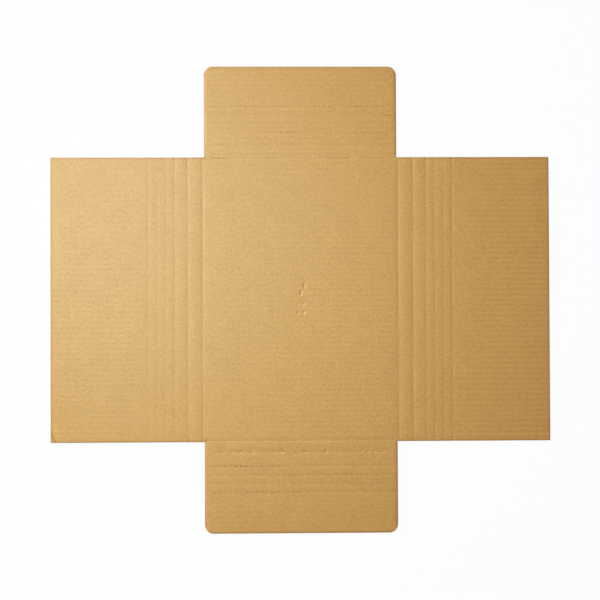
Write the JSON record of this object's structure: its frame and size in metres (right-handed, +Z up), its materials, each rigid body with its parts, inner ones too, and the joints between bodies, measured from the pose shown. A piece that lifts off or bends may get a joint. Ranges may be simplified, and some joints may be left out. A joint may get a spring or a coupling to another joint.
{
  "type": "flattened cardboard box",
  "caption": "Flattened wrap-round corrugated cardboard mailer: a cross-shaped blank with a centre panel, long side wings, shorter round-cornered flaps and parallel fold creases.",
  "frame": {"origin": "on the underside, below the middle of the centre panel", "axes": "+X along the flutes, towards the right wing of the picture; +Y towards its upper flap; +Z up, out of the inside face that carries the creases"},
  "size_m": [0.5696, 0.5326, 0.0028],
  "materials": {
    "kraft_board": "uncoated brown kraft paper liners, matt"
  },
  "bodies": {
    "root": {"blank": "kraft_board"}
  },
  "joints": []
}
